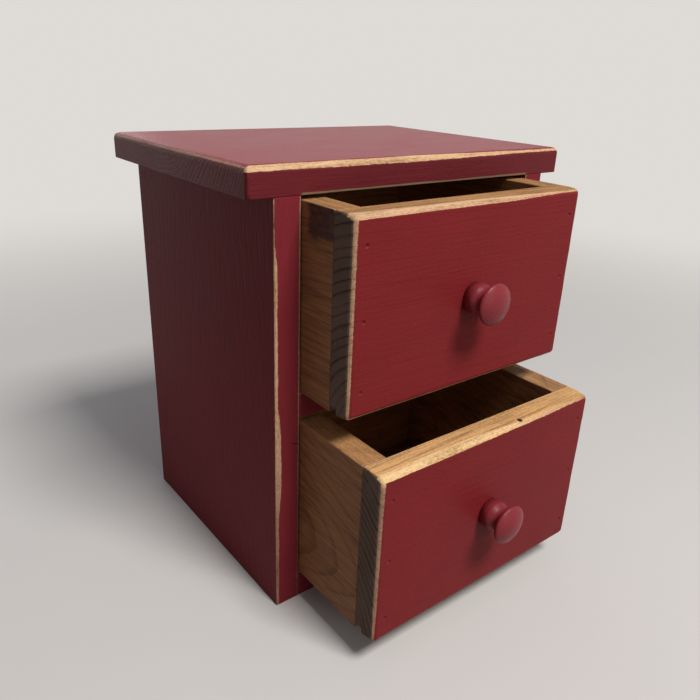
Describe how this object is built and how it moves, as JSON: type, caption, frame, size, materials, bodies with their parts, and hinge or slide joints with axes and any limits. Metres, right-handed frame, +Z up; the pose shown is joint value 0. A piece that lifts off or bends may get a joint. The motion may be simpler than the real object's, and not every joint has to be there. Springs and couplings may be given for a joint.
{
  "type": "two-drawer tabletop chest",
  "caption": "Small painted pine tabletop chest with an overhanging top and plain inset drawers, each pulled by a turned wooden knob and standing part open.",
  "frame": {"origin": "centre of the case's underside, on the plane the chest stands on", "axes": "+Z up; -Y is the front, the way the drawers open; +X is to the right as seen from the front"},
  "size_m": [0.282, 0.3175, 0.322],
  "materials": {
    "painted_pine": "satin dark red paint on pine, worn through to the wood along the edges",
    "bare_pine": "brown-stained pine with a dull wax finish",
    "plywood": "stained plywood",
    "steel": "plain drawn steel"
  },
  "bodies": {
    "case": {"case_side_left": "painted_pine", "case_side_right": "painted_pine", "case_top": "painted_pine", "case_bottom": "painted_pine", "case_divider": "painted_pine", "case_back": "painted_pine", "case_top_nails": "steel", "case_side_nails": "steel", "case_back_brads": "steel"},
    "upper_drawer": {"upper_front": "painted_pine", "upper_side_left": "bare_pine", "upper_side_right": "bare_pine", "upper_back": "bare_pine", "upper_bottom": "plywood", "upper_knob": "painted_pine", "upper_knob_screw": "steel", "upper_front_brads": "steel", "upper_back_brads": "steel", "upper_bottom_brads": "steel"},
    "lower_drawer": {"lower_front": "painted_pine", "lower_side_left": "bare_pine", "lower_side_right": "bare_pine", "lower_back": "bare_pine", "lower_bottom": "plywood", "lower_knob": "painted_pine", "lower_knob_screw": "steel", "lower_front_brads": "steel", "lower_back_brads": "steel", "lower_bottom_brads": "steel"}
  },
  "joints": [
    {"name": "upper_drawer_slide", "type": "slide", "parent": "case", "child": "upper_drawer", "axis": [0, -1, 0], "range_m": [-0.051, 0.109]},
    {"name": "lower_drawer_slide", "type": "slide", "parent": "case", "child": "lower_drawer", "axis": [0, -1, 0], "range_m": [-0.087, 0.073]}
  ]
}
